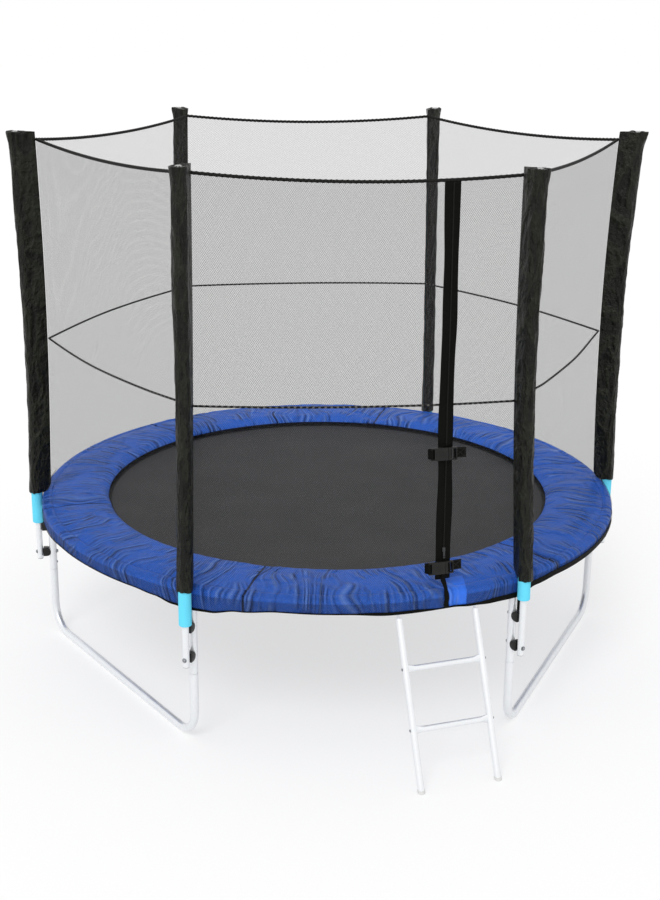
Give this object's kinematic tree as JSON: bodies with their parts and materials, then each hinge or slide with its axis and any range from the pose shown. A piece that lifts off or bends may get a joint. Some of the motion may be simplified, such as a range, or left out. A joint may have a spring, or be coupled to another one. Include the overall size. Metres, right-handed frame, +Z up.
{
  "type": "trampoline",
  "caption": "Round garden trampoline with padded net poles outside a mesh safety net with a zip door, spring pad, U-shaped legs and a hook-on ladder.",
  "frame": {"origin": "middle of the trampoline on the ground", "axes": "+Z up, +X towards a net pole, -Y towards the door and the ladder"},
  "size_m": [2.5648, 2.7164, 2.164],
  "materials": {
    "steel_tube": "galvanised steel tube, satin",
    "zinc_wire": "zinc-plated wire",
    "sleeve_cloth": "coated polyester, black",
    "pad_cover": "coated cover over foam, royal blue",
    "foam": "closed-cell foam, sky blue",
    "black_plastic": "moulded plastic",
    "mat_weave": "tight plastic weave, dark grey",
    "net_mesh": "fine knitted mesh",
    "cord_black": "braided cord",
    "webbing_black": "woven webbing",
    "zip_tape": "woven zip tape",
    "foot_plastic": "moulded plastic, pale grey"
  },
  "bodies": {
    "frame": {"frame_rail_1": "steel_tube", "frame_rail_2": "steel_tube", "frame_rail_3": "steel_tube", "frame_rail_4": "steel_tube", "frame_rail_5": "steel_tube", "frame_rail_6": "steel_tube", "leg_base_1": "steel_tube", "leg_base_2": "steel_tube", "leg_base_3": "steel_tube", "net_pole_1": "steel_tube", "net_pole_2": "steel_tube", "net_pole_3": "steel_tube", "net_pole_4": "steel_tube", "net_pole_5": "steel_tube", "net_pole_6": "steel_tube", "pole_sleeve_1": "sleeve_cloth", "pole_sleeve_2": "sleeve_cloth", "pole_sleeve_3": "sleeve_cloth", "pole_sleeve_4": "sleeve_cloth", "pole_sleeve_5": "sleeve_cloth", "pole_sleeve_6": "sleeve_cloth", "pole_foams": "foam", "pole_spacers": "black_plastic", "springs": "zinc_wire", "safety_pad": "pad_cover", "net_panel_1": "net_mesh", "net_panel_2": "net_mesh", "net_panel_3": "net_mesh", "net_panel_4": "net_mesh", "net_panel_5": "net_mesh", "net_panel_6": "net_mesh", "net_top_cord": "cord_black", "net_mid_cord": "cord_black", "net_hem": "webbing_black", "net_straps": "webbing_black", "door_zip": "zip_tape", "buckle_sockets": "black_plastic", "buckle_webbing": "webbing_black"},
    "mat": {"jumping_mat": "mat_weave", "mat_rings": "zinc_wire"},
    "ladder": {"ladder_rail_left": "steel_tube", "ladder_rail_right": "steel_tube", "ladder_rungs": "steel_tube", "ladder_feet": "foot_plastic"},
    "slider": {"zip_slider": "zinc_wire"},
    "insert_low": {"buckle_insert_low": "black_plastic"},
    "insert_high": {"buckle_insert_high": "black_plastic"}
  },
  "joints": [
    {"name": "mat_bounce", "type": "slide", "parent": "frame", "child": "mat", "axis": [0, 0, 1], "range_m": [-0.25, 0], "stiffness_N_per_m": 4000, "springref_m": 0.01, "deforming": ["springs"]},
    {"name": "ladder_swing", "type": "hinge", "parent": "frame", "child": "ladder", "pos_m": [0.27866, -1.15467, 0.615], "axis": [-0.9744, -0.225, 0], "range_deg": [0, 4]},
    {"name": "zip_slide", "type": "slide", "parent": "frame", "child": "slider", "axis": [-0.0202, 0.1427, 0.9896], "range_m": [0, 0.3]},
    {"name": "buckle_low_release", "type": "slide", "parent": "frame", "child": "insert_low", "axis": [0.9769, 0.2135, 0], "range_m": [0, 0.055]},
    {"name": "buckle_high_release", "type": "slide", "parent": "frame", "child": "insert_high", "axis": [0.9905, 0.1372, 0], "range_m": [0, 0.055]}
  ]
}
